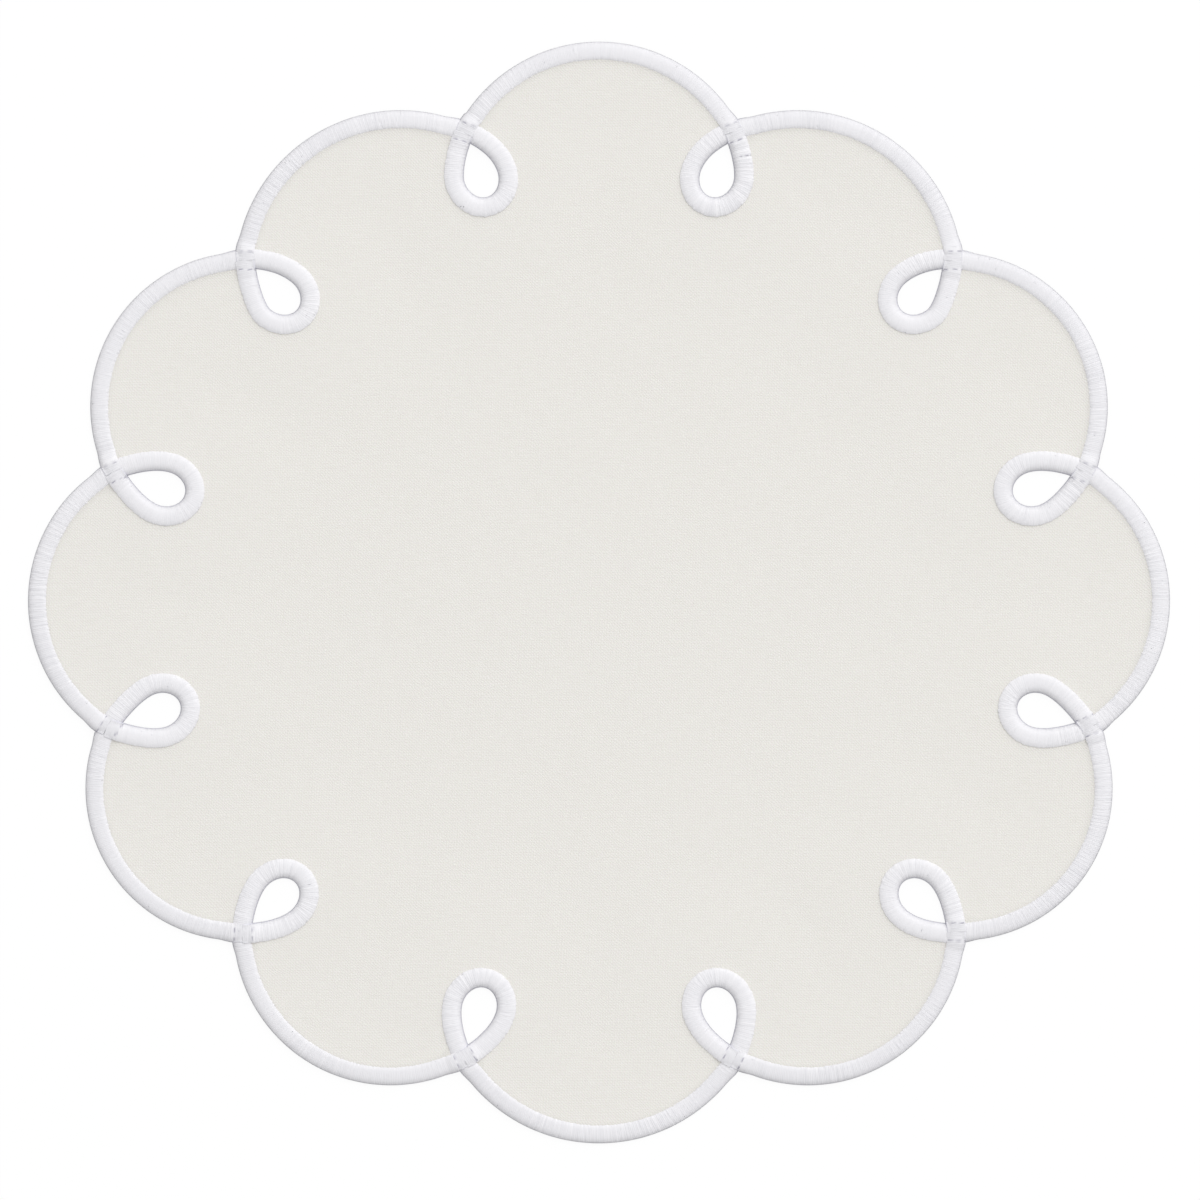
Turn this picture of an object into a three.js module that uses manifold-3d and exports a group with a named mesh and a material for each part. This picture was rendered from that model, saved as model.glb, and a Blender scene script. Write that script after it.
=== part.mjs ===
import * as THREE from 'three';
import { mergeVertices } from 'three/addons/utils/BufferGeometryUtils.js';
import Module from 'manifold-3d';

// A scalloped linen placemat with a satin-stitched edge. Sizes are millimetres and degrees.
// The underside lies at z = 0, +X is the long way and +Y points to the top scallop.

// The linen sheet.
const clothThickness = 1.0;
// How far the cut edge of the linen runs past the middle of the satin line.
const clothReach = 1.7;

// The satin line: one closed line of stitches that runs along each scallop,
// crosses itself at each notch and goes once round a small loop there.
const lineHalfWidth = 3.0;
const loopLineHalfWidth = 3.25;
const shoulderHeight = 1.45;
const flankHeight = 2.05;
const flankPlace = 0.62;
const crownHeight = 2.3;

// Where the line crosses itself, the strand on top rises over the one below.
const crossingRise = 0.5;
const crossingFlat = 3.0;
const crossingRun = 3.5;

// Clearance between the linen and the stitches that close over it.
const clearance = 0.3;
// Solids that only cut run this far past the faces they cut.
const cutMargin = 1.0;

// All loops have the same foot, measured along the middle of the line from the
// middle of the hole: half width, depth of the round foot and the place of the
// widest point. Two curves lead from the foot back to the scallops, and all of
// them meet the scallops with the same pull.
const loopHalfWidth = 8.35;
const loopFootDepth = 9.5;
const loopWidestAt = -1.7;
const scallopPull = 4.8;
// A scallop's round arc stops this many degrees before it would meet the next one.
const arcStopsShort = 6;
// The opening of a loop is drawn from the crossing and from the stations of the
// line that lie more than this below it.
const openingStartsBelow = 1.0;

// Steps of the curves.
const arcSteps = 18;
const bendSteps = 6;
const footSteps = 10;

// Scallops from the top, down the right side, to the bottom: centre and radius
// of the arc along the middle of the line.
const scallopRows = [
  { x: 0.0, y: 130.2, radius: 50.1 },
  { x: 66.0, y: 105.3, radius: 52.2 },
  { x: 117.8, y: 61.8, radius: 48.5 },
  { x: 137.9, y: -2.8, radius: 49.1 },
  { x: 120.3, y: -65.2, radius: 47.6 },
  { x: 69.4, y: -111.7, radius: 49.3 },
  { x: 0.0, y: -127.9, radius: 52.4 },
];

// Loops from the top, down the right side: middle of the hole, the direction in
// which its pointed end looks, the pull of the curve that leads to the foot and of
// the one that leads out, and the scallop whose strand lies on top at the crossing,
// on the right side and on the left side of the mat.
const loopRows = [
  { x: 39.8, y: 139.8, points: 70.8, pullIn: 6.1, pullOut: 9.4, overRight: 'upper', overLeft: 'upper' },
  { x: 107.0, y: 99.7, points: 39.8, pullIn: 5.1, pullOut: 9.8, overRight: 'upper', overLeft: 'upper' },
  { x: 146.1, y: 34.9, points: 15.0, pullIn: 7.5, pullOut: 8.4, overRight: 'upper', overLeft: 'upper' },
  { x: 147.5, y: -39.8, points: -20.0, pullIn: 7.5, pullOut: 6.7, overRight: 'lower', overLeft: 'upper' },
  { x: 107.3, y: -102.4, points: -42.0, pullIn: 8.3, pullOut: 7.2, overRight: 'lower', overLeft: 'upper' },
  { x: 40.4, y: -139.7, points: -70.9, pullIn: 8.6, pullOut: 7.9, overRight: 'upper', overLeft: 'upper' },
];

const wasm = await Module();
wasm.setup();

// The whole edge, clockwise from the top: the left side mirrors the right one.
function allScallops() {
  const left = scallopRows.slice(1, -1).map((row) => ({ ...row, x: -row.x }));
  return [...scallopRows, ...left.reverse()];
}

function allLoops() {
  const right = loopRows.map((row) => ({ ...row, entryOnTop: row.overRight === 'upper' }));
  const left = loopRows.map((row) => ({
    ...row,
    x: -row.x,
    points: 180 - row.points,
    pullIn: row.pullOut,
    pullOut: row.pullIn,
    entryOnTop: row.overLeft === 'lower',
  }));
  return [...right, ...left.reverse()];
}

const scallops = allScallops();
const loops = allLoops();

// The outer meeting point of two neighbouring scallops whose radii are grown by extra.
function meetingPoint(first, second, extra) {
  const from = new THREE.Vector2(first.x, first.y);
  const along = new THREE.Vector2(second.x, second.y).sub(from);
  const distance = along.length();
  along.divideScalar(distance);
  const r1 = first.radius + extra;
  const r2 = second.radius + extra;
  const reach = (distance * distance + r1 * r1 - r2 * r2) / (2 * distance);
  const height = Math.sqrt(r1 * r1 - reach * reach);
  const outward = new THREE.Vector2(-along.y, along.x);
  return from.addScaledVector(along, reach).addScaledVector(outward, height);
}

function angleAbout(scallop, point) {
  return Math.atan2(point.y - scallop.y, point.x - scallop.x);
}

// A clockwise arc of a scallop from one angle to another.
function scallopArc(scallop, radius, start, end) {
  return new THREE.EllipseCurve(scallop.x, scallop.y, radius, radius, start, end, true);
}

// Stations on a curve, each with its place, its direction and half the line's width.
function stationsOn(curve, steps, widthFrom, widthTo) {
  const stations = [];
  for (let i = 0; i <= steps; i += 1) {
    const t = i / steps;
    const place = curve.getPoint(t);
    const direction = curve.getTangent(t);
    const halfWidth = THREE.MathUtils.lerp(widthFrom, widthTo, t);
    stations.push({ place, direction, halfWidth });
  }
  return stations;
}

function pointOnScallop(scallop, angle) {
  const { x, y, radius } = scallop;
  return new THREE.Vector2(x + radius * Math.cos(angle), y + radius * Math.sin(angle));
}

// The direction of a clockwise walk round a scallop.
function clockwiseAt(angle) {
  return new THREE.Vector2(Math.sin(angle), -Math.cos(angle));
}

// One turn of the line round a loop, walked clockwise: the bend that comes in from
// the scallop before, the round foot, and the bend that goes out to the next scallop.
function turnAt(index) {
  const loop = loops[index];
  const before = scallops[index];
  const after = scallops[(index + 1) % scallops.length];
  const crossing = meetingPoint(before, after, 0);
  const stop = THREE.MathUtils.degToRad(arcStopsShort);
  const entryAngle = angleAbout(before, crossing) + stop;
  const exitAngle = angleAbout(after, crossing) - stop;

  const turn = THREE.MathUtils.degToRad(loop.points);
  const outward = new THREE.Vector2(Math.cos(turn), Math.sin(turn));
  const sideways = new THREE.Vector2(outward.y, -outward.x);
  const middle = new THREE.Vector2(loop.x, loop.y).addScaledVector(outward, loopWidestAt);
  const entrySide = middle.clone().addScaledVector(sideways, loopHalfWidth);
  const exitSide = middle.clone().addScaledVector(sideways, -loopHalfWidth);

  const entry = pointOnScallop(before, entryAngle);
  const exit = pointOnScallop(after, exitAngle);
  const bendIn = new THREE.CubicBezierCurve(
    entry,
    entry.clone().addScaledVector(clockwiseAt(entryAngle), scallopPull),
    entrySide.clone().addScaledVector(outward, loop.pullIn),
    entrySide,
  );
  const bendOut = new THREE.CubicBezierCurve(
    exitSide,
    exitSide.clone().addScaledVector(outward, loop.pullOut),
    exit.clone().addScaledVector(clockwiseAt(exitAngle), -scallopPull),
    exit,
  );
  const foot = new THREE.EllipseCurve(
    middle.x, middle.y, loopHalfWidth, loopFootDepth, 0, -Math.PI, true, turn - Math.PI / 2,
  );

  const inStations = stationsOn(bendIn, bendSteps, lineHalfWidth, loopLineHalfWidth);
  const footStations = stationsOn(foot, footSteps, loopLineHalfWidth, loopLineHalfWidth);
  const outStations = stationsOn(bendOut, bendSteps, loopLineHalfWidth, lineHalfWidth);
  const lowest = footSteps / 2;
  return {
    loop,
    crossing,
    outward,
    entryAngle,
    exitAngle,
    entering: [...inStations, ...footStations.slice(1, lowest + 1)],
    leaving: [...footStations.slice(lowest), ...outStations.slice(1)],
  };
}

const turns = loops.map((loop, index) => turnAt(index));

// How far the strand on top is raised at a place near a crossing.
function riseAt(place, crossing) {
  const nearness = (crossingFlat + crossingRun - place.distanceTo(crossing)) / crossingRun;
  return crossingRise * THREE.MathUtils.smoothstep(nearness, 0, 1);
}

// The stretch of the line from the foot of one loop, along a scallop, to the foot
// of the next loop. The strand that lies on top rises at each crossing.
function stretchStations(index) {
  const scallop = scallops[index];
  const last = turns[(index + turns.length - 1) % turns.length];
  const next = turns[index];
  const arc = scallopArc(scallop, scallop.radius, last.exitAngle, next.entryAngle);
  const along = stationsOn(arc, arcSteps, lineHalfWidth, lineHalfWidth).slice(1, -1);
  const stations = [...last.leaving, ...along, ...next.entering];
  return stations.map((station) => {
    const riseAfterLast = last.loop.entryOnTop ? 0 : riseAt(station.place, last.crossing);
    const riseBeforeNext = next.loop.entryOnTop ? riseAt(station.place, next.crossing) : 0;
    return { ...station, lift: Math.max(riseAfterLast, riseBeforeNext) };
  });
}

// A closed solid swept along stations. A section gives the outline at one station
// as pairs of a place to the left of the line and a height, from the right foot.
function sweep(stations, section) {
  const positions = [];
  const indices = [];
  for (const station of stations) {
    const left = new THREE.Vector2(-station.direction.y, station.direction.x);
    for (const [sideways, height] of section(station)) {
      const place = station.place.clone().addScaledVector(left, sideways);
      positions.push(place.x, place.y, height);
    }
  }
  const count = section(stations[0]).length;
  for (let i = 0; i + 1 < stations.length; i += 1) {
    for (let j = 0; j < count; j += 1) {
      const a = i * count + j;
      const b = i * count + (j + 1) % count;
      indices.push(a, b, a + count);
      indices.push(b, b + count, a + count);
    }
  }
  const lastRing = (stations.length - 1) * count;
  for (let j = 1; j + 1 < count; j += 1) {
    indices.push(0, j + 1, j);
    indices.push(lastRing, lastRing + j, lastRing + j + 1);
  }
  const geometry = new THREE.BufferGeometry();
  geometry.setAttribute('position', new THREE.Float32BufferAttribute(positions, 3));
  geometry.setIndex(indices);
  return toSolid(geometry);
}

// The crowned section of the satin line, flat below and raised on top of a crossing.
function satinSection(station) {
  const half = station.halfWidth;
  const lift = station.lift;
  return [
    [-half, 0],
    [half, 0],
    [half, shoulderHeight + lift],
    [half * flankPlace, flankHeight + lift],
    [0, crownHeight + lift],
    [-half * flankPlace, flankHeight + lift],
    [-half, shoulderHeight + lift],
  ];
}

function toSolid(geometry) {
  const bare = geometry.clone();
  bare.deleteAttribute('normal');
  bare.deleteAttribute('uv');
  const merged = mergeVertices(bare);
  return new wasm.Manifold(new wasm.Mesh({
    numProp: 3,
    vertProperties: merged.attributes.position.array,
    triVerts: new Uint32Array(merged.index.array),
  }));
}

function toGeometry(solid) {
  const mesh = solid.getMesh();
  const geometry = new THREE.BufferGeometry();
  geometry.setAttribute('position', new THREE.BufferAttribute(mesh.vertProperties, 3));
  geometry.setIndex(new THREE.BufferAttribute(mesh.triVerts, 1));
  geometry.computeVertexNormals();
  return geometry;
}

// An upright prism over a closed outline, from one height to another.
function prism(outline, bottom, top) {
  const shape = new THREE.Shape(outline);
  const geometry = new THREE.ExtrudeGeometry(shape, { depth: top - bottom, bevelEnabled: false });
  geometry.translate(0, 0, bottom);
  return toSolid(geometry);
}

// The outline of the cloth: every scallop grown by reach past the middle of the line.
function scallopedOutline(reach) {
  const count = scallops.length;
  return scallops.flatMap((scallop, index) => {
    const start = meetingPoint(scallops[(index + count - 1) % count], scallop, reach);
    const end = meetingPoint(scallop, scallops[(index + 1) % count], reach);
    const arc = scallopArc(
      scallop, scallop.radius + reach, angleAbout(scallop, start), angleAbout(scallop, end),
    );
    return arc.getPoints(arcSteps).slice(0, -1);
  });
}

// The teardrop opening inside one loop, reaching up to a ribbon of cloth that
// follows the middle of the line and is reach wide to each side.
function loopOpening(turn, reach, bottom, top) {
  const { crossing, outward, entering, leaving } = turn;
  const places = [...entering, ...leaving.slice(1)].map((station) => station.place);
  const below = (place) => -place.clone().sub(crossing).dot(outward);
  const inside = places.filter((place) => below(place) > openingStartsBelow);
  const ribbonSection = () => [
    [-reach, bottom - cutMargin],
    [reach, bottom - cutMargin],
    [reach, top + cutMargin],
    [-reach, top + cutMargin],
  ];
  return prism([crossing, ...inside], bottom, top)
    .subtract(sweep(entering, ribbonSection))
    .subtract(sweep(leaving, ribbonSection));
}

// The cloth as cut: scalloped outside, with a teardrop opening inside each loop.
function clothSolid(reach, bottom, top) {
  let cloth = prism(scallopedOutline(reach), bottom, top);
  for (const turn of turns) {
    cloth = cloth.subtract(loopOpening(turn, reach, bottom - cutMargin, top + cutMargin));
  }
  return cloth;
}

// The satin line closes over the cloth's edge and drops past it to the table.
function satinSolid() {
  let line = sweep(stretchStations(0), satinSection);
  for (let index = 1; index < scallops.length; index += 1) {
    line = line.add(sweep(stretchStations(index), satinSection));
  }
  return line.subtract(clothSolid(clothReach + clearance, -cutMargin, clothThickness + clearance));
}

const linenMaterial = new THREE.MeshStandardMaterial({ color: 0xe8e6e1, roughness: 0.9, metalness: 0 });
const satinMaterial = new THREE.MeshStandardMaterial({ color: 0xf1f1f5, roughness: 0.45, metalness: 0 });

const linen = new THREE.Mesh(toGeometry(clothSolid(clothReach, 0, clothThickness)), linenMaterial);
linen.name = 'linen_ground';

const border = new THREE.Mesh(toGeometry(satinSolid()), satinMaterial);
border.name = 'satin_border';

const placemat = new THREE.Group();
placemat.add(linen);
placemat.add(border);

export default placemat;
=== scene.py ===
import math

import bpy
import numpy as np
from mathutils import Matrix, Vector
from mathutils.geometry import delaunay_2d_cdt


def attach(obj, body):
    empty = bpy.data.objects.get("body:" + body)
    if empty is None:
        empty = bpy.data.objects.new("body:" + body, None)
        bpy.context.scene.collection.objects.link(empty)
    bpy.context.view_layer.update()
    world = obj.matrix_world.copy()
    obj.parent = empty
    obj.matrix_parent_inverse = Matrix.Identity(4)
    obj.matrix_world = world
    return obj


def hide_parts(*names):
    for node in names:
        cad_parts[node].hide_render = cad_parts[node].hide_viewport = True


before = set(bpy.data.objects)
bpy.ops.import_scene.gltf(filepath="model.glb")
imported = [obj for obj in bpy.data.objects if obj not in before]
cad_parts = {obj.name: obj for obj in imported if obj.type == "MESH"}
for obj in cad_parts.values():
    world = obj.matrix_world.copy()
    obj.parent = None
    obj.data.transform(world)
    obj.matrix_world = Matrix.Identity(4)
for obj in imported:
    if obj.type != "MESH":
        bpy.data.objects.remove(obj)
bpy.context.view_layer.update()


# Linen ground: one piece of plain-woven natural white linen, cut along twelve
# scallops and pierced by twelve teardrop openings. The stitches close over every cut
# edge and hold it just above the table; away from them it sinks and lies on it.

# A scallop is part of a circle (metres). These run down the right side, and the
# left side mirrors them.
scallops_on_the_right = [
    {"x": 0.0000, "y": 0.1302, "radius": 0.0501},
    {"x": 0.0660, "y": 0.1053, "radius": 0.0522},
    {"x": 0.1178, "y": 0.0618, "radius": 0.0485},
    {"x": 0.1379, "y": -0.0028, "radius": 0.0491},
    {"x": 0.1203, "y": -0.0652, "radius": 0.0476},
    {"x": 0.0694, "y": -0.1117, "radius": 0.0493},
    {"x": 0.0000, "y": -0.1279, "radius": 0.0524},
]

# A loop: the middle of its hole, the way its pointed end looks (degrees), how far
# the bends on the way in and on the way out pull, and which of the two strands
# lies on top there, on the right and on the left side.
loops_on_the_right = [
    {"x": 0.0398, "y": 0.1398, "points": 70.8, "pulls": (0.0061, 0.0094), "over": ("upper", "upper")},
    {"x": 0.1070, "y": 0.0997, "points": 39.8, "pulls": (0.0051, 0.0098), "over": ("upper", "upper")},
    {"x": 0.1461, "y": 0.0349, "points": 15.0, "pulls": (0.0075, 0.0084), "over": ("upper", "upper")},
    {"x": 0.1475, "y": -0.0398, "points": -20.0, "pulls": (0.0075, 0.0067), "over": ("lower", "upper")},
    {"x": 0.1073, "y": -0.1024, "points": -42.0, "pulls": (0.0083, 0.0072), "over": ("lower", "upper")},
    {"x": 0.0404, "y": -0.1397, "points": -70.9, "pulls": (0.0086, 0.0079), "over": ("upper", "upper")},
]
loop_half_width = 0.00835
loop_foot_depth = 0.0095
loop_widest_at = -0.0017
scallop_pull = 0.0048
arc_stops_short = math.radians(6)

scallops = list(scallops_on_the_right)
for s in reversed(scallops_on_the_right[1:-1]):
    scallops.append({**s, "x": -s["x"]})

loops = []
for l in loops_on_the_right:
    loops.append({"x": l["x"], "y": l["y"], "points": math.radians(l["points"]),
                  "pulls": l["pulls"], "entry_on_top": l["over"][0] == "upper"})
for l in reversed(loops_on_the_right):
    loops.append({"x": -l["x"], "y": l["y"], "points": math.radians(180 - l["points"]),
                  "pulls": l["pulls"][::-1], "entry_on_top": l["over"][1] == "lower"})


def where_scallops_meet(first, second):
    """The outer crossing point of two neighbouring scallops, going clockwise."""
    a = np.array((first["x"], first["y"]))
    b = np.array((second["x"], second["y"]))
    apart = np.linalg.norm(b - a)
    ahead = (b - a) / apart
    along = (apart**2 + first["radius"]**2 - second["radius"]**2) / (2 * apart)
    up = math.sqrt(first["radius"]**2 - along**2)
    return a + ahead * along + np.array((-ahead[1], ahead[0])) * up


def angle_about(scallop, point):
    return math.atan2(point[1] - scallop["y"], point[0] - scallop["x"])


def clockwise_from(angle):
    return np.array((math.sin(angle), -math.cos(angle)))


def bend(a, b, c, d, steps):
    """A smooth bend from a to d that leaves towards b and arrives from c."""
    t = np.linspace(0, 1, steps)[:, None]
    return (1 - t)**3 * a + 3 * (1 - t)**2 * t * b + 3 * (1 - t) * t**2 * c + t**3 * d


# The stitched line is drawn once round the mat, clockwise from the top: along a
# scallop, in through the notch, round the loop's foot, out again across itself.
arc_steps = 900
bend_steps = 300
foot_steps = 400
line_parts = []
for n, loop in enumerate(loops):
    before, after = scallops[n], scallops[(n + 1) % 12]
    loop["crossing"] = where_scallops_meet(before, after)
    last_crossing = where_scallops_meet(scallops[n - 1], before)
    arc_from = angle_about(before, last_crossing) - arc_stops_short
    arc_to = angle_about(before, loop["crossing"]) + arc_stops_short
    while arc_to > arc_from:
        arc_to -= 2 * math.pi
    turn = np.linspace(arc_from, arc_to, arc_steps)
    arc = np.stack((before["x"] + before["radius"] * np.cos(turn),
                    before["y"] + before["radius"] * np.sin(turn)), 1)
    leaves_at = angle_about(after, loop["crossing"]) - arc_stops_short
    leaves = np.array((after["x"] + after["radius"] * math.cos(leaves_at),
                       after["y"] + after["radius"] * math.sin(leaves_at)))
    outward = np.array((math.cos(loop["points"]), math.sin(loop["points"])))
    sideways = np.array((outward[1], -outward[0]))
    middle = np.array((loop["x"], loop["y"])) + outward * loop_widest_at
    entry_side = middle + sideways * loop_half_width
    exit_side = middle - sideways * loop_half_width
    bend_in = bend(arc[-1], arc[-1] + clockwise_from(arc_to) * scallop_pull,
                   entry_side + outward * loop["pulls"][0], entry_side, bend_steps)
    half_turn = np.linspace(0, -math.pi, foot_steps)[:, None]
    foot = (middle + sideways * loop_half_width * np.cos(half_turn)
            + outward * loop_foot_depth * np.sin(half_turn))
    bend_out = bend(exit_side, exit_side + outward * loop["pulls"][1],
                    leaves - clockwise_from(leaves_at) * scallop_pull, leaves, bend_steps)
    for stretch in (arc, bend_in, foot, bend_out):
        line_parts.append(stretch[:-1])

# The run is how far along the line a point lies (metres). For each of the twelve
# loops it is kept where the bend in, the foot, the bend out and the next arc start.
line = np.concatenate(line_parts)
line_run = np.concatenate(([0.0], np.cumsum(np.linalg.norm(np.roll(line, -1, 0) - line, axis=1))))
line_length = line_run[-1]
part_run = line_run[np.concatenate(([0], np.cumsum([len(part) for part in line_parts])))]
loop_starts, foot_starts, foot_ends, loop_ends = (part_run[k::4] for k in (1, 2, 3, 4))


def point_on_line(run):
    """The point of the stitched line after this run along it, in metres."""
    run = np.asarray(run) % line_length
    x = np.interp(run, line_run, np.append(line[:, 0], line[0, 0]))
    y = np.interp(run, line_run, np.append(line[:, 1], line[0, 1]))
    return np.stack((x, y), -1)


def left_of_line(run, reach=0.0006):
    """The direction to the left of the line there: away from the mat on a scallop."""
    ahead = point_on_line(np.asarray(run) + reach) - point_on_line(np.asarray(run) - reach)
    ahead /= np.linalg.norm(ahead, axis=-1)[..., None]
    return np.stack((-ahead[..., 1], ahead[..., 0]), -1)


def easy(x):
    """A change from 0 to 1 that starts and stops softly."""
    x = np.clip(x, 0, 1)
    return x * x * (3 - 2 * x)


def share_round_loop(run, change_over=0.006):
    """0 on the scallops and 1 round the loops, with an easy change between them."""
    run = np.asarray(run) % line_length
    share = np.zeros_like(run)
    for first, last in zip(loop_starts, loop_ends):
        inside = np.minimum(run - first, last - run)
        share = np.maximum(share, np.clip(inside / change_over + 0.5, 0, 1))
    return easy(share)


# The cut edge: an outline of scallop arcs and a teardrop for each opening.
cut_past_line = 0.0017
scallop_cut_steps = 48
opening_cut_steps = 100
starts_early = 0.004
cut_scallops = [{**s, "radius": s["radius"] + cut_past_line} for s in scallops]
outline = []
for n, scallop in enumerate(cut_scallops):
    start = angle_about(scallop, where_scallops_meet(cut_scallops[n - 1], scallop))
    stop = angle_about(scallop, where_scallops_meet(scallop, cut_scallops[(n + 1) % 12]))
    while stop > start:
        stop -= 2 * math.pi
    for turn in np.linspace(start, stop, scallop_cut_steps + 1)[:-1]:
        outline.append((scallop["x"] + scallop["radius"] * math.cos(turn),
                        scallop["y"] + scallop["radius"] * math.sin(turn)))
outline = np.array(outline)


def closed_at_crossing(edge):
    """The part of an edge that its own crossing closes, from the crossing point round."""
    half = len(edge) // 2
    for i in range(half):
        for j in range(len(edge) - 2, half, -1):
            a, b, c, d = edge[i], edge[i + 1], edge[j], edge[j + 1]
            across = (b[0] - a[0]) * (d[1] - c[1]) - (b[1] - a[1]) * (d[0] - c[0])
            if abs(across) < 1e-15:
                continue
            s = ((c[0] - a[0]) * (d[1] - c[1]) - (c[1] - a[1]) * (d[0] - c[0])) / across
            r = ((c[0] - a[0]) * (b[1] - a[1]) - (c[1] - a[1]) * (b[0] - a[0])) / across
            if 0 <= s < 1 and 0 <= r < 1:
                return np.concatenate(([a + (b - a) * s], edge[i + 1:j + 1]))
    return edge


openings = []
for starts, ends in zip(loop_starts, loop_ends):
    around = np.linspace(starts - starts_early, ends + starts_early, opening_cut_steps)
    inner_edge = point_on_line(around) - left_of_line(around) * cut_past_line
    openings.append(closed_at_crossing(inner_edge))

# Points inside the cloth, so that it can sink: a staggered grid kept clear of the
# stitches, and rings of points beside them, where the cloth is drawn up to them.
grid_step = 0.0045
grid_row_step = grid_step * 0.866
grid_reach_x, grid_reach_y = 0.192, 0.186
grid_clear_of_line = 0.0105
rings_off_line = (0.0018, 0.0030, 0.0035, 0.0041, 0.0049, 0.0062, 0.0082)
ring_step = 0.003
ring_too_near = 0.00015
near_line = point_on_line(np.arange(0, line_length, 0.0008))


def distance_to_line(points, at_once=256):
    far = np.full(len(points), 1e9)
    for chunk in range(0, len(near_line), at_once):
        gap = points[:, None, :] - near_line[None, chunk:chunk + at_once, :]
        far = np.minimum(far, np.sqrt((gap**2).sum(-1).min(1)))
    return far


def inside_of(points, polygon):
    """Which of the points lie inside a closed polygon."""
    inside = np.zeros(len(points), bool)
    x, y = points[:, 0], points[:, 1]
    for (ax, ay), (bx, by) in zip(polygon, np.roll(polygon, -1, 0)):
        crosses = (ay > y) != (by > y)
        inside ^= crosses & (x < (bx - ax) * (y - ay) / (by - ay if by != ay else 1e-12) + ax)
    return inside


def on_the_cloth(points):
    """Which of the points lie inside the cut edge and outside every opening."""
    inside = inside_of(points, outline)
    for opening in openings:
        inside &= ~inside_of(points, opening)
    return inside


grid = []
for row, y in enumerate(np.arange(-grid_reach_y, grid_reach_y, grid_row_step)):
    for x in np.arange(-grid_reach_x, grid_reach_x, grid_step):
        grid.append((x + (grid_step / 2 if row % 2 else 0), y))
grid = np.array(grid)
grid = grid[distance_to_line(grid) > grid_clear_of_line]
grid = grid[on_the_cloth(grid)]

ring_runs = np.arange(0, line_length, ring_step)
towards_cloth = np.where(share_round_loop(ring_runs) > 0.5, 1, -1)[:, None]
rings = []
for off_line in rings_off_line:
    ring = point_on_line(ring_runs) + left_of_line(ring_runs) * towards_cloth * off_line
    rings.append(ring[distance_to_line(ring) > off_line - ring_too_near])
rings = np.concatenate(rings)
rings = rings[on_the_cloth(rings)]

# The cloth is laid out flat first, as triangles between the edges and those points.
flat_points = [Vector(p) for p in outline]
edges = [(k, (k + 1) % len(outline)) for k in range(len(outline))]
for opening in openings:
    first = len(flat_points)
    flat_points += [Vector(p) for p in opening]
    edges += [(first + k, first + (k + 1) % len(opening)) for k in range(len(opening))]
flat_points += [Vector(p) for p in grid] + [Vector(p) for p in rings]
flat, _, triangles, _, _, _ = delaunay_2d_cdt(flat_points, edges, [], 0, 1e-7)
flat = np.array([tuple(p) for p in flat])
triangles = np.array([tuple(t) for t in triangles])
triangles = triangles[on_the_cloth(flat[triangles].mean(1))]
turned = np.cross(flat[triangles[:, 1]] - flat[triangles[:, 0]],
                  flat[triangles[:, 2]] - flat[triangles[:, 0]])
triangles[turned < 0] = triangles[turned < 0][:, ::-1]
used = np.unique(triangles)
renumber = np.full(len(flat), -1)
renumber[used] = np.arange(len(used))
flat, triangles = flat[used], renumber[triangles]

# Then it is lifted: held up by the stitches, drawn up more right beside them, and
# sinking to the table further in, where low swells keep it from lying quite flat.
linen_thickness = 0.0005
held_up_by = 0.00055
sinks_from = 0.002
sinks_over = 0.045
drawn_up_by = 0.00032
drawn_up_over = 0.0014
stitch_reach = 0.0029
swells_by = 0.00005
swell_size = 0.045
swells_from = 0.004
swells_grow_over = 0.02
above_table = 0.00003
least_above_table = 0.00002


def soft_waves(points, size, seed, count=24):
    """Low uneven swells, made of a few seeded plane waves, between about -1 and 1."""
    dice = np.random.default_rng(seed)
    total = np.zeros(len(points))
    for _ in range(count):
        way = dice.uniform(0, 2 * math.pi)
        wave = dice.uniform(0.7, 1.6) * 2 * math.pi / size
        total += np.sin(wave * (points[:, 0] * math.cos(way) + points[:, 1] * math.sin(way))
                        + dice.uniform(0, 2 * math.pi))
    return total / math.sqrt(count)


away = distance_to_line(flat)
lift = (held_up_by * (1 - easy((away - sinks_from) / sinks_over))
        + drawn_up_by * np.exp(-np.maximum(away - stitch_reach, 0) / drawn_up_over))
swells = swells_by * soft_waves(flat, swell_size, 3) * easy((away - swells_from) / swells_grow_over)
height = np.maximum(least_above_table, above_table + lift + swells)
cloth_points = np.concatenate((np.column_stack((flat, height + linen_thickness)),
                               np.column_stack((flat, height))))
underside = len(flat)
cloth_faces = [tuple(t) for t in triangles] + [tuple(t[::-1] + underside) for t in triangles]
sides = dict.fromkeys(side for a, b, c in triangles for side in ((a, b), (b, c), (c, a)))
for a, b in sides:
    if (b, a) not in sides:
        cloth_faces.append((b, a, a + underside, b + underside))


def new_material(name):
    material = bpy.data.materials.new(name)
    material.use_nodes = True
    return material, material.node_tree.nodes, material.node_tree.links


def feed(links, socket, value):
    """Gives an input a fixed value, or another node's output."""
    if isinstance(value, bpy.types.NodeSocket):
        links.new(value, socket)
    else:
        socket.default_value = value


def calculate(nodes, links, what, *inputs):
    """A math node; each input is a number or another node's output."""
    node = nodes.new("ShaderNodeMath")
    node.operation = what
    for socket, value in zip(node.inputs, inputs):
        feed(links, socket, value)
    return node.outputs[0]


def stretched_noise(nodes, links, place, along_x, along_y, detail=2.0, output="Fac"):
    """Uneven streaks: noise with its own count per metre along x and along y."""
    scaled = nodes.new("ShaderNodeVectorMath")
    scaled.operation = "MULTIPLY"
    scaled.inputs[1].default_value = (along_x, along_y, 1.0)
    links.new(place, scaled.inputs[0])
    noise = nodes.new("ShaderNodeTexNoise")
    noise.inputs["Scale"].default_value = 1.0
    noise.inputs["Detail"].default_value = detail
    links.new(scaled.outputs[0], noise.inputs["Vector"])
    return noise.outputs[output]


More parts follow.
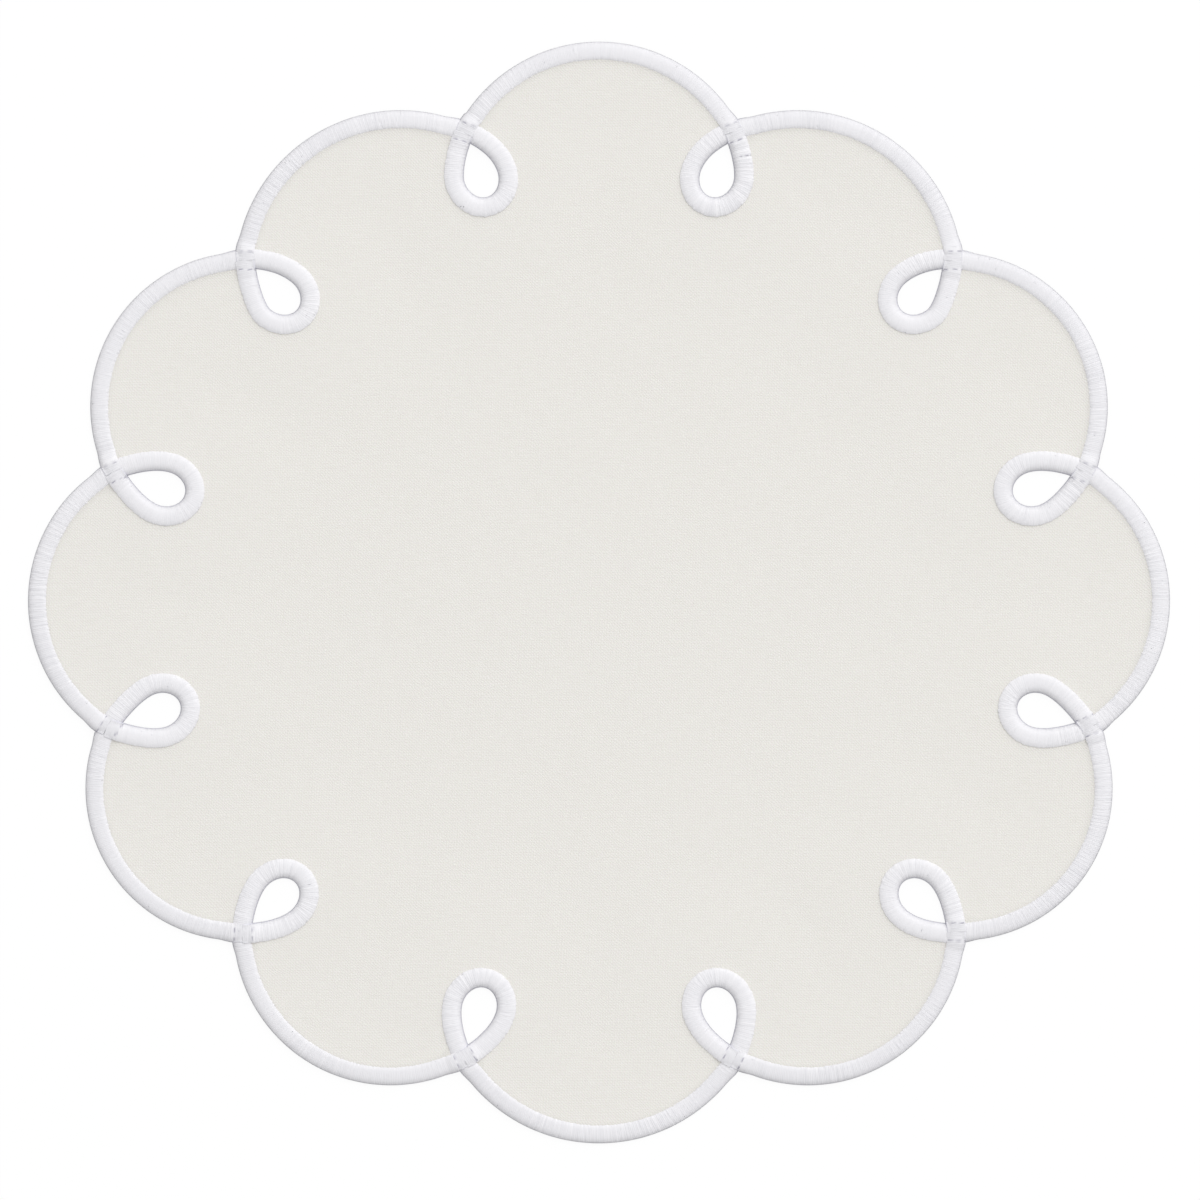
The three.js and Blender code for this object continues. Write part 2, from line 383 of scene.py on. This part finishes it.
def between_colours(nodes, links, share, dark, light, dark_at=0.0, light_at=1.0):
    """A colour that goes from dark to light with a share."""
    ramp = nodes.new("ShaderNodeValToRGB")
    darkest, lightest = ramp.color_ramp.elements
    darkest.position, lightest.position = dark_at, light_at
    darkest.color, lightest.color = (*dark, 1), (*light, 1)
    links.new(share, ramp.inputs[0])
    return ramp.outputs[0]


def tinted(nodes, links, share, colour, tint):
    """A colour with a share of a tint; each is fixed or another node's output."""
    mix = nodes.new("ShaderNodeMix")
    mix.data_type = "RGBA"
    for socket, value in (("Factor", share), ("A", colour), ("B", tint)):
        feed(links, mix.inputs[socket], value)
    return mix.outputs["Result"]


def painted(nodes, kind):
    """What is painted on a mesh's points under this name, from 0 to 1."""
    attribute = nodes.new("ShaderNodeAttribute")
    attribute.attribute_name = kind
    return attribute.outputs["Fac"]


def raise_surface(nodes, links, shader, height, strength, distance):
    """Fine relief, such as threads and fibres, on a material."""
    raised = nodes.new("ShaderNodeBump")
    raised.inputs["Strength"].default_value = strength
    raised.inputs["Distance"].default_value = distance
    links.new(height, raised.inputs["Height"])
    links.new(raised.outputs[0], shader.inputs["Normal"])


# Plain weave: the threads lie about 0.56 mm apart both ways and pass over and under
# one another. Each one wanders a little, and where tight and slack threads alternate
# faint ribs show, 0.83 mm apart. Some fibres are creamier and some greyer.
warp_per_metre = 1745
weft_per_metre = 1805
ribs_per_metre = 1203
threads_wander_by = 8.0
threads_drift_by = 5.0
ribs_wander_by = 4.0
upright_ribs_drift_by = 5.0
level_ribs_drift_by = 8.0
upright_ribs_lean = -0.05
linen, nodes, links = new_material("plain_woven_linen")
shader = nodes["Principled BSDF"]
place = nodes.new("ShaderNodeTexCoord").outputs["Object"]
apart = nodes.new("ShaderNodeSeparateXYZ")
links.new(place, apart.inputs[0])


def linen_sum(what, *inputs):
    return calculate(nodes, links, what, *inputs)


def linen_noise(along_x, along_y, detail=1.0):
    return stretched_noise(nodes, links, place, along_x, along_y, detail)


def waving(position, per_metre, wander, by, drift, drift_by):
    """A wave along a position that two kinds of noise put a little out of step."""
    late = linen_sum("MULTIPLY_ADD", wander, by, linen_sum("MULTIPLY", drift, drift_by))
    return linen_sum("SINE", linen_sum("MULTIPLY_ADD", position, per_metre * math.pi, late))


across_warp = waving(apart.outputs["X"], warp_per_metre, linen_noise(500, 200), threads_wander_by,
                     linen_noise(170, 170), threads_drift_by)
across_weft = waving(apart.outputs["Y"], weft_per_metre, linen_noise(200, 500), threads_wander_by,
                     linen_noise(150, 210), threads_drift_by)
over_and_under = linen_sum("MULTIPLY", across_warp, across_weft)
between_warp = linen_sum("SUBTRACT", 1.0, linen_sum("ABSOLUTE", across_warp))
between_weft = linen_sum("SUBTRACT", 1.0, linen_sum("ABSOLUTE", across_weft))
pin_holes = linen_sum("MULTIPLY", between_warp, between_weft)
off_square = linen_sum("MULTIPLY_ADD", apart.outputs["Y"], upright_ribs_lean, apart.outputs["X"])
upright_ribs = waving(off_square, 2 * ribs_per_metre, linen_noise(300, 25), ribs_wander_by,
                      linen_noise(60, 15), upright_ribs_drift_by)
level_ribs = waving(apart.outputs["Y"], 2 * ribs_per_metre, linen_noise(60, 300), ribs_wander_by,
                    linen_noise(50, 70), level_ribs_drift_by)
level_slubs, upright_slubs = linen_noise(180, 1800, 2), linen_noise(1800, 180, 2)
fibres = linen_noise(3000, 3000, 2)

# How light the linen is: slubs and fibres lighten it, and painted shade darkens the pin holes between
# the threads.
upright_rib_light, level_rib_light = 0.07, 0.08
level_slub_weight = 1.7
slub_light, fibre_light, least_light = 0.2, 0.3, 0.13
painted_pin_hole_shade = -0.35
grey_linen, cream_linen = (0.719, 0.695, 0.642), (0.899, 0.885, 0.856)
fibre_tint_share = 0.08
ribs = linen_sum("MULTIPLY_ADD", upright_ribs, upright_rib_light,
                 linen_sum("MULTIPLY", level_ribs, level_rib_light))
slubs = linen_sum("MULTIPLY_ADD", level_slubs, level_slub_weight, upright_slubs)
lightness = linen_sum("MULTIPLY_ADD", slubs, slub_light,
                      linen_sum("MULTIPLY_ADD", fibres, fibre_light, least_light))
lightness = linen_sum("ADD", lightness, linen_sum("MULTIPLY_ADD", pin_holes, painted_pin_hole_shade, ribs))
linen_colour = between_colours(nodes, links, lightness, grey_linen, cream_linen)
fibre_tints = stretched_noise(nodes, links, place, 2600, 2600, 1, "Color")
linen_colour = tinted(nodes, links, fibre_tint_share, linen_colour, fibre_tints)

# Painted shade: close to the stitches the linen's colour is darkened towards a shade colour, where the
# needle holes and the tight threads would lie in shadow.
painted_stitch_shade_colour = (0.30, 0.29, 0.27, 1)
linen_colour = tinted(nodes, links, painted(nodes, "painted_stitch_shade"), linen_colour, painted_stitch_shade_colour)
links.new(linen_colour, shader.inputs["Base Color"])
shader.inputs["Roughness"].default_value = 0.9
shader.inputs["Specular IOR Level"].default_value = 0.2
thread_relief, fibre_relief = 0.5, 0.3
linen_relief = linen_sum("MULTIPLY_ADD", fibres, fibre_relief,
                         linen_sum("MULTIPLY", over_and_under, thread_relief))
raise_surface(nodes, links, shader, linen_relief, strength=0.68, distance=0.0001)


def piece_of_mat(name, mesh, material):
    """Puts a finished mesh into the scene, as a piece that rides on the mat."""
    mesh.materials.append(material)
    piece = bpy.data.objects.new(name, mesh)
    bpy.context.scene.collection.objects.link(piece)
    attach(piece, "root")
    return piece


def mesh_of(name, points, faces, smooth):
    """A mesh; smooth says for each face whether it is shaded round or flat."""
    mesh = bpy.data.meshes.new(name)
    mesh.from_pydata([tuple(p) for p in points], [], [tuple(f) for f in faces])
    mesh.update()
    mesh.polygons.foreach_set("use_smooth", smooth)
    return mesh


def paint(mesh, kind, values):
    """Paints a value on each point of a mesh, for its material."""
    mesh.attributes.new(kind, "FLOAT", "POINT").data.foreach_set("value", values.astype(np.float32))


# Painted shade on the linen beside the stitches: how dark it is next to them, how far past them it
# starts to fade, and over what distance.
painted_stitch_shade = 0.14
painted_stitch_shade_from = 0.0003
painted_stitch_shade_over = 0.0007
cloth_mesh = mesh_of("linen_cloth", cloth_points, cloth_faces, [len(f) == 3 for f in cloth_faces])
cloth = piece_of_mat("linen_cloth", cloth_mesh, linen)
past_stitches = np.maximum(away - stitch_reach - painted_stitch_shade_from, 0)
paint(cloth_mesh, "painted_stitch_shade", np.tile(painted_stitch_shade * np.exp(-past_stitches / painted_stitch_shade_over), 2))
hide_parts("linen_ground")


# Padding under the satin stitch: lengthwise filling threads laid along the line
# first, a low crowned strip that the satin threads are then drawn tight over.
scallop_line_half_width = 0.00290
loop_line_half_width = 0.00312
loop_line_shift = 0.00053

# The crown of the line: where it lies, from -1 at the linen to 1 at the cut edge, how
# high it is there, and how far and how roundly the top falls off to either side.
scallop_crown = {"at": -0.41, "height": 0.00185, "linen_fall": 0.00037, "linen_round": 2.6,
                 "edge_fall": 0.00105, "edge_round": 3.3}
loop_crown = {"at": -0.05, "height": 0.00215, "linen_fall": 0.00060, "linen_round": 3.0,
              "edge_fall": 0.00136, "edge_round": 2.6}
lift_at_crossing = 0.0005
crossing_flat = 0.0030
crossing_run = 0.0035

# Where the line meets each crossing: once on its way in and once on its way out.
looks_past = 0.006
crossing_looks = 1500
crossing_runs = []
for n, loop in enumerate(loops):
    way_in = np.linspace(loop_starts[n] - looks_past, foot_starts[n], crossing_looks)
    way_out = np.linspace(foot_ends[n], loop_ends[n] + looks_past, crossing_looks)
    gap_in = np.linalg.norm(point_on_line(way_in) - loop["crossing"], axis=1)
    gap_out = np.linalg.norm(point_on_line(way_out) - loop["crossing"], axis=1)
    crossing_runs.append((way_in[gap_in.argmin()], way_out[gap_out.argmin()]))


def linen_side(run):
    """+1 where the cloth lies left of the line, round a loop, and -1 on a scallop."""
    run = np.asarray(run) % line_length
    side = -np.ones_like(run)
    for passes_in, passes_out in crossing_runs:
        side[(run > passes_in) & (run < passes_out)] = 1
    return side


def half_width_at(run):
    share = share_round_loop(run)
    return scallop_line_half_width * (1 - share) + loop_line_half_width * share


def run_from(run, spot):
    """How far along the closed line a run is from a spot, either way."""
    return np.abs((run - spot + line_length / 2) % line_length - line_length / 2)


def lift_along(run):
    """How much the strand that lies on top rises near its crossing."""
    lift = np.zeros_like(run)
    for loop, (passes_in, passes_out) in zip(loops, crossing_runs):
        far = run_from(run, passes_in if loop["entry_on_top"] else passes_out)
        lift = np.maximum(lift, lift_at_crossing
                          * easy((crossing_flat + crossing_run - far) / crossing_run))
    return lift


def top_height(share, round_loop):
    """The height of the stitches' top at a share of the way out to the cut edge
    (above 0) or to the linen (below 0)."""
    share = np.asarray(share, float)
    heights = []
    for crown in (scallop_crown, loop_crown):
        to_linen = np.clip((crown["at"] - share) / (1 + crown["at"]), 0, 1)
        to_edge = np.clip((share - crown["at"]) / (1 - crown["at"]), 0, 1)
        heights.append(crown["height"] - crown["linen_fall"] * to_linen**crown["linen_round"]
                       - crown["edge_fall"] * to_edge**crown["edge_round"])
    return heights[0] * (1 - round_loop) + heights[1] * round_loop


pad_steps = 2400
pad_shares = np.array([-1.0, -0.94, -0.8, -0.6, -0.35, 0.0, 0.35, 0.6, 0.8, 0.94, 1.0])
pad_below = 0.00010
pad_narrower_by = 0.00028
pad_rim_drop = 0.00015
pad_foot_height = 0.00022
pad_runs = np.linspace(0, line_length, pad_steps, endpoint=False)
pad_side = linen_side(pad_runs)[:, None]
pad_round_loop = share_round_loop(pad_runs)[:, None]
pad_out = (half_width_at(pad_runs) - pad_narrower_by)[:, None] * pad_shares
pad_left = pad_side * -pad_out + loop_line_shift * pad_round_loop
pad_top = (point_on_line(pad_runs)[:, None, :]
           + left_of_line(pad_runs)[:, None, :] * pad_left[..., None])
pad_height = (top_height(pad_shares[None, :], pad_round_loop)
              + lift_along(pad_runs)[:, None] - pad_below)
pad_height[:, [0, -1]] -= pad_rim_drop
foot_height = np.full((pad_steps, 1), pad_foot_height)
pad_ring = np.concatenate((pad_top[:, :1], pad_top, pad_top[:, -1:]), 1)
pad_high = np.concatenate((foot_height, pad_height, foot_height), 1)
pad_points = np.concatenate((pad_ring, pad_high[..., None]), 2).reshape(-1, 3)
around = pad_ring.shape[1]
pad_faces = []
for r in range(pad_steps):
    n = (r + 1) % pad_steps
    for c in range(around):
        d = (c + 1) % around
        pad_faces.append((r * around + c, n * around + c, n * around + d, r * around + d))

padding, nodes, links = new_material("padding_thread")
shader = nodes["Principled BSDF"]
place = nodes.new("ShaderNodeTexCoord").outputs["Object"]
strands = stretched_noise(nodes, links, place, 2400, 2400, 2)
pad_colour = between_colours(nodes, links, strands, (0.58, 0.58, 0.63), (0.72, 0.72, 0.77),
                             dark_at=0.3, light_at=0.7)
links.new(pad_colour, shader.inputs["Base Color"])
shader.inputs["Roughness"].default_value = 0.8
raise_surface(nodes, links, shader, strands, strength=0.4, distance=0.0001)

pad_mesh = mesh_of("stitch_padding", pad_points, pad_faces, [True] * len(pad_faces))
pad = piece_of_mat("stitch_padding", pad_mesh, padding)
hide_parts("satin_border")


# Satin stitches: one cool white thread sewn over and over across the line. Each
# turn comes up through the linen, crosses the padding, goes down round the cut
# edge and back underneath. The threads lie side by side, a little uneven.
stitch_pitch = 0.00058
stitch_sides = 6
stitch_count = int(round(line_length / stitch_pitch))
dice = np.random.default_rng(20)


def slow_noise(run, size, seed):
    """A smooth random value along the closed line, about -1 to 1."""
    slow_dice = np.random.default_rng(seed)
    knots = max(4, int(round(line_length / size)))
    values = slow_dice.uniform(-1, 1, knots)
    spot = (np.asarray(run) % line_length) / line_length * knots
    first = np.floor(spot).astype(int)
    share = easy(spot - first)
    return values[first % knots] * (1 - share) + values[(first + 1) % knots] * share


# Each stitch lies nearly one pitch from the last and leans a little along the line.
# Some stretches are sewn smooth and some are ridged, from nearly 0 to 1.
off_pitch_by = 0.10
leans_with_others, leans_alone = 0.00030, 0.00002
least_thickness, ridged_thickness = 0.00005, 0.00004
runs = ((np.arange(stitch_count) + dice.uniform(-off_pitch_by, off_pitch_by, stitch_count))
        / stitch_count * line_length)
ridged = np.clip(0.35 + 0.5 * slow_noise(runs, 0.009, 5) + 0.4 * slow_noise(runs, 0.03, 6), 0.02, 1)
leans = leans_with_others * slow_noise(runs, 0.02, 7) + dice.normal(0, leans_alone, stitch_count)
thickness = least_thickness + ridged_thickness * ridged

# The closed turn of one stitch, as shares of the half width out to the cut edge.
# It starts at the needle hole in the linen and goes over the top, where its corners
# are a little lower, and round below, at the heights given with the shares.
over_the_top = np.array([-1.045, -1.0, -0.89, -0.70, -0.48, -0.22, 0.04,
                         0.30, 0.54, 0.74, 0.88, 0.965, 1.0])
corner = np.array([0.00014, 0.00004, 0.00001, 0, 0, 0, 0, 0, 0, 0, 0.00001, 0.00005, 0.00020])
underneath = [(1.0, 0.00030), (0.90, 0.00014), (0.20, 0.00012), (-0.70, 0.00013), (-1.035, 0.00060)]
top_rings = len(over_the_top)
ring_count = top_rings + len(underneath)
middle_ring = top_rings // 2


def from_end_to_end():
    """A random value for each ring of a stitch, changing evenly along the stitch."""
    at_linen, at_edge = dice.normal(0, 1, (2, stitch_count, 1))
    share = (over_the_top + 1) / 2
    return at_linen * (1 - share) + at_edge * share


# A thread may lie proud or sunk, light or dark, at one end only.
proud_by = 0.000022
proud = proud_by * from_end_to_end() * ridged[:, None]

# On some stitches a slack spot stands up or sinks in, a millimetre or two long.
slack_share = 0.3
slack_long = 0.16
slack_rises_by = 0.00003
slack_at = dice.uniform(0.15, 0.85, stitch_count)[:, None]
slack_by = (dice.normal(0, slack_rises_by, stitch_count)
            * (dice.uniform(0, 1, stitch_count) < slack_share))
proud = proud + slack_by[:, None] * np.exp(-(((over_the_top + 1) / 2 - slack_at) / slack_long)**2)

# The tone of each thread, from 0 dark to 1 light: ridged stretches are less even, and
# the loops are lighter than the scallops.
plain_tone = 0.5
own_tone_by, slow_tone_by, lighter_round_loop = 0.17, 0.10, 0.18
width = half_width_at(runs)
loop_share = share_round_loop(runs)
side = linen_side(runs)
tone = np.clip(plain_tone + own_tone_by * from_end_to_end() * (0.3 + ridged[:, None])
               + slow_tone_by * slow_noise(runs, 0.015, 8)[:, None]
               + lighter_round_loop * loop_share[:, None], 0, 1)

# At the cut edge the thread turns down a little early, and its two ends are uneven.
turns_early, earlier_round_loop = 0.00016, 0.00010
linen_end_uneven, edge_end_uneven = 0.00005, 0.00002
turns_in = turns_early + earlier_round_loop * loop_share
out = over_the_top[None, :] * width[:, None]
out[:, -4:] -= turns_in[:, None] * np.array([0.5, 0.8, 1.0, 1.0])
out[:, :3] += dice.normal(0, linen_end_uneven, stitch_count)[:, None] * np.array([1.0, 1.0, 0.5])
out[:, -3:] += dice.normal(0, edge_end_uneven, stitch_count)[:, None]
high = (top_height(over_the_top[None, :], loop_share[:, None]) - corner
        + lift_along(runs)[:, None] + proud)
out = np.concatenate((out, np.stack([width * share for share, _ in underneath], 1)), 1)
high = np.concatenate((high, np.repeat([[h for _, h in underneath]], stitch_count, 0)), 1)

# Out is measured away from the linen, so it turns to the left or to the right.
out_left = -side[:, None] * out + loop_line_shift * loop_share[:, None]
at = runs[:, None] + leans[:, None] * out / width[:, None]
middles = point_on_line(at) + left_of_line(at) * out_left[..., None]

# The crossings: how far along the line the strand on top still meets the one below,
# how long and how finely that one is followed, and how its top falls to its edges.
meets_within = 0.009
strand_half_length = 0.014
strand_steps = 281
strand_fall = 0.0006
strand_round = 2.6
strand_edge_width = 0.00030


def strand_below(points, run):
    """How high the strand below reaches at points of the strand on top, else 0, and
    how near its two edges are, from 1 at an edge down to 0."""
    reach = np.zeros(points.shape[:-1])
    near_edge = np.zeros(points.shape[:-1])
    half = 0.5 * (scallop_line_half_width + loop_line_half_width)
    for loop, (passes_in, passes_out) in zip(loops, crossing_runs):
        over, below = (passes_in, passes_out) if loop["entry_on_top"] else (passes_out, passes_in)
        near = np.where(run_from(run, over) < meets_within)[0]
        strand = point_on_line(np.linspace(below - strand_half_length, below + strand_half_length,
                                           strand_steps))
        gap = points[near][..., None, :] - strand
        gap = np.sqrt((gap**2).sum(-1)).min(-1)
        crown = top_height(0.0, share_round_loop(below))
        top = crown - strand_fall * np.clip(gap / half, 0, 1)**strand_round
        reach[near] = np.where(gap < half, top, 0)
        near_edge[near] = np.exp(-((gap - half) / strand_edge_width)**2)
    return reach, near_edge


# Over the strand below, the thread lies a little sunk, and painted shade darkens its tone there. Along
# that strand's two edges the needle has passed between the threads in short dashes.
clear_of_strand = 0.00016
painted_shade_over_strand = 0.3
dashes_across = 6.5
below, near_edge = strand_below(middles, runs)
rides_over = (below > 0) & (np.arange(ring_count)[None, :] < top_rings)
high = np.where(rides_over, np.maximum(high, below + clear_of_strand), high)
tone = np.where(rides_over[:, :top_rings], tone * painted_shade_over_strand, tone)
tone = np.concatenate((tone, np.full((stitch_count, ring_count - top_rings), plain_tone)), 1)
dash_turns = dice.uniform(0, 2 * math.pi, 12)[(runs / line_length * 12).astype(int) % 12, None]
share_out = np.concatenate((over_the_top, np.zeros(ring_count - top_rings)))
# Where the dashes lie: they narrow the threads and are darkened with painted shade.
dashes = near_edge * np.clip(0.5 + 1.5 * np.sin(dashes_across * share_out[None, :] + dash_turns), 0, 1)
dashes[:, top_rings:] = 0
centre = np.concatenate((middles, high[..., None]), 2)

# The stitches before and after each one. Where the linen changes sides, at a
# crossing, the neighbour runs the other way, so the last step is carried on instead.
after = np.roll(centre, -1, 0)
before = np.roll(centre, 1, 0)
turns_after = (np.roll(side, -1) != side)[:, None, None]
turns_before = (np.roll(side, 1) != side)[:, None, None]
after, before = (np.where(turns_after, 2 * centre - before, after),
                 np.where(turns_before, 2 * centre - after, before))

# Each ring of a thread fills the room between its neighbours, and overlaps them.
half_wide_of_room = 0.70
least_half_wide, most_half_wide = 0.00012, 0.00060
dash_narrows_by = 0.45
room = np.linalg.norm(after - before, axis=2) / 2
half_wide = (np.clip(room * half_wide_of_room, least_half_wide, most_half_wide)
             * (1 - dash_narrows_by * dashes))

# Here and there two neighbouring threads part, and a short slit shows the padding.
slit_count = 110
slit_narrows_to = 0.55
slits = dice.choice(stitch_count, slit_count, replace=False)
slit_ring = dice.choice(np.array([1, 2, 3, 5, 7, 8, 9, 10]), slit_count)
for dn in (0, 1):
    half_wide[(slits + dn) % stitch_count, slit_ring] *= slit_narrows_to

# The stitching was begun on the first loop, 8 mm past the crossing: the first and the last thread part
# there in a few short dashes, narrowed and darkened with painted shade.
begun_past_crossing = 0.0080
begun_rings = [0, 1, 3, 4, 6]
begun_narrows_to = 0.6
begun_painted_dash_shade = 0.45
begun = int(np.searchsorted(runs, crossing_runs[0][0] + begun_past_crossing))
for dn in (0, 1):
    half_wide[begun + dn, begun_rings] *= begun_narrows_to
dashes[begun, begun_rings] = begun_painted_dash_shade

# The skin of a thread: a flat lens, wide along the line and thin outward.
across_thread = np.array([0, -0.82, -1.0, 0, 1.0, 0.82])
up_thread = np.array([1.0, 0.6, -0.2, -1.0, -0.2, 0.6])
along = after - before
along /= np.linalg.norm(along, axis=2)[..., None]
forward = np.roll(centre, -1, 1) - np.roll(centre, 1, 1)
forward /= np.linalg.norm(forward, axis=2)[..., None]
proud_way = np.cross(forward, along)
proud_way /= np.linalg.norm(proud_way, axis=2)[..., None]
proud_way *= np.sign(proud_way[:, middle_ring, 2])[:, None, None]
skin = (centre[:, :, None, :]
        + along[:, :, None, :] * half_wide[:, :, None, None] * across_thread[:, None]
        + proud_way[:, :, None, :] * thickness[:, None, None, None] * up_thread[:, None])

# Cool white thread with a soft sheen. Painted shade makes it bluer where it turns down at the cut edge
# and greyer in the gaps between threads.
satin, nodes, links = new_material("satin_stitch_thread")
shader = nodes["Principled BSDF"]
place = nodes.new("ShaderNodeTexCoord").outputs["Object"]
thread_fibres = stretched_noise(nodes, links, place, 3500, 3500, 3)
painted_tone = calculate(nodes, links, "MULTIPLY", painted(nodes, "thread_tone"), 0.9)
thread_tone = calculate(nodes, links, "MULTIPLY_ADD", thread_fibres, 0.1, painted_tone)
# The colours of the painted shade at the cut edge and in the dashes.
painted_edge_shade_colour, painted_gap_shade_colour = (0.29, 0.29, 0.56, 1), (0.30, 0.29, 0.37, 1)
satin_colour = between_colours(nodes, links, thread_tone, (0.738, 0.733, 0.763),
                               (0.840, 0.832, 0.857), dark_at=0.1, light_at=0.9)
satin_colour = tinted(nodes, links, painted(nodes, "painted_edge_shade"), satin_colour, painted_edge_shade_colour)
satin_colour = tinted(nodes, links, painted(nodes, "painted_gap_shade"), satin_colour, painted_gap_shade_colour)
links.new(satin_colour, shader.inputs["Base Color"])
shader.inputs["Roughness"].default_value = 0.5
shader.inputs["Specular IOR Level"].default_value = 0.35
shader.inputs["Sheen Weight"].default_value = 0.1
raise_surface(nodes, links, shader, thread_fibres, strength=0.08, distance=0.00003)

# Painted shade: the thread's colour is darkened towards blue where it turns down round the cut edge,
# more so round a loop, and towards grey in the dashes.
scallop_painted_edge_shade, more_painted_shade_round_loop = 0.11, 0.08
painted_shade_before_edge = 0.03
painted_dash_shade = 0.75
painted_edge_shade = np.zeros((stitch_count, ring_count))
painted_edge_shade[:, top_rings - 1:top_rings + 1] = (scallop_painted_edge_shade + more_painted_shade_round_loop * loop_share)[:, None]
painted_edge_shade[:, top_rings - 2] = painted_shade_before_edge * loop_share
painted_gap_shade = painted_dash_shade * dashes

# The faces of one turn of thread, then all the turns of a scallop and its loop as
# one piece. On a scallop the turns run the other way, so their faces are flipped.
ring, corner_of = np.meshgrid(np.arange(ring_count), np.arange(stitch_sides), indexing="ij")
next_ring, next_corner = (ring + 1) % ring_count, (corner_of + 1) % stitch_sides
one_turn = np.stack((ring * stitch_sides + corner_of, ring * stitch_sides + next_corner,
                     next_ring * stitch_sides + next_corner, next_ring * stitch_sides + corner_of),
                    -1).reshape(-1, 4)
piece_ends = np.searchsorted(runs, loop_ends)
piece_ends[-1] = stitch_count
first = 0
for n, last in enumerate(piece_ends):
    name = f"satin_stitches_{n + 1:02d}"
    turns = last - first
    points = skin[first:last].reshape(-1, 3)
    quads = one_turn[None] + (np.arange(turns) * ring_count * stitch_sides)[:, None, None]
    flips = side[first:last] < 0
    quads[flips] = quads[flips][:, :, ::-1]
    quads = quads.reshape(-1, 4)
    mesh = bpy.data.meshes.new(name)
    mesh.vertices.add(len(points))
    mesh.vertices.foreach_set("co", points.astype(np.float32).ravel())
    mesh.loops.add(quads.size)
    mesh.loops.foreach_set("vertex_index", quads.astype(np.int32).ravel())
    mesh.polygons.add(len(quads))
    mesh.polygons.foreach_set("loop_start", np.arange(0, quads.size, 4, dtype=np.int32))
    mesh.polygons.foreach_set("loop_total", np.full(len(quads), 4, dtype=np.int32))
    mesh.update(calc_edges=True)
    mesh.validate()
    mesh.polygons.foreach_set("use_smooth", np.ones(len(quads), bool))
    for kind, values in (("thread_tone", tone), ("painted_edge_shade", painted_edge_shade), ("painted_gap_shade", painted_gap_shade)):
        paint(mesh, kind, np.repeat(values[first:last].ravel(), stitch_sides))
    stitches = piece_of_mat(name, mesh, satin)
    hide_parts("satin_border")
    first = last


# Table, light and camera: a plain white ground, even light from above with a
# soft main light from the upper right, and a camera straight above the mat.
white_ground, nodes, links = new_material("white_ground")
shader = nodes["Principled BSDF"]
shader.inputs["Base Color"].default_value = (0.1, 0.1, 0.1, 1)
shader.inputs["Roughness"].default_value = 1.0
shader.inputs["Emission Color"].default_value = (1, 1, 1, 1)
shader.inputs["Emission Strength"].default_value = 0.885
bpy.ops.mesh.primitive_plane_add(size=6, location=(0, 0, -0.0001))
ground = bpy.context.object
ground.name = "white_ground"
ground.data.materials.append(white_ground)
ground.visible_diffuse = False
ground.visible_glossy = False

# The even light is white above the horizon and dimmer below it.
world = bpy.data.worlds.new("even_light")
bpy.context.scene.world = world
world.use_nodes = True
nodes, links = world.node_tree.nodes, world.node_tree.links
sky = nodes["Background"]
sky.inputs["Strength"].default_value = 0.71
way = nodes.new("ShaderNodeTexCoord").outputs["Generated"]
apart = nodes.new("ShaderNodeSeparateXYZ")
links.new(way, apart.inputs[0])
above = nodes.new("ShaderNodeMapRange")
above.inputs["From Min"].default_value = -0.02
above.inputs["From Max"].default_value = 0.02
above.inputs["To Min"].default_value = 0.3
links.new(apart.outputs["Z"], above.inputs["Value"])
links.new(above.outputs[0], sky.inputs["Color"])

key_light = bpy.data.lights.new("main_light", "AREA")
key_light.shape = "DISK"
key_light.size = 13.0
key_light.energy = 925.0
key = bpy.data.objects.new("main_light", key_light)
bpy.context.scene.collection.objects.link(key)
key_turn, key_up, key_away = math.radians(58), math.radians(42), 12.0
key.location = (key_away * math.cos(key_up) * math.cos(key_turn),
                key_away * math.cos(key_up) * math.sin(key_turn), key_away * math.sin(key_up))
key.rotation_euler = (-key.location).to_track_quat("-Z", "Y").to_euler()

# The picture is frame_width wide at the height of the stitches' top.
frame_width = 0.39895
frame_middle_x, frame_middle_y = 0.00033, -0.00249
stitches_top = 0.002
camera_data = bpy.data.cameras.new("camera")
camera_data.sensor_width = 36
camera_data.lens = 200
camera_data.clip_start, camera_data.clip_end = 0.1, 50
camera = bpy.data.objects.new("camera", camera_data)
bpy.context.scene.collection.objects.link(camera)
half_view = camera_data.sensor_width / 2 / camera_data.lens
camera.location = (frame_middle_x, frame_middle_y, frame_width / 2 / half_view + stitches_top)
camera.rotation_euler = (0, 0, 0)
bpy.context.scene.camera = camera
bpy.context.scene.view_settings.view_transform = "Standard"

bpy.context.view_layer.update()
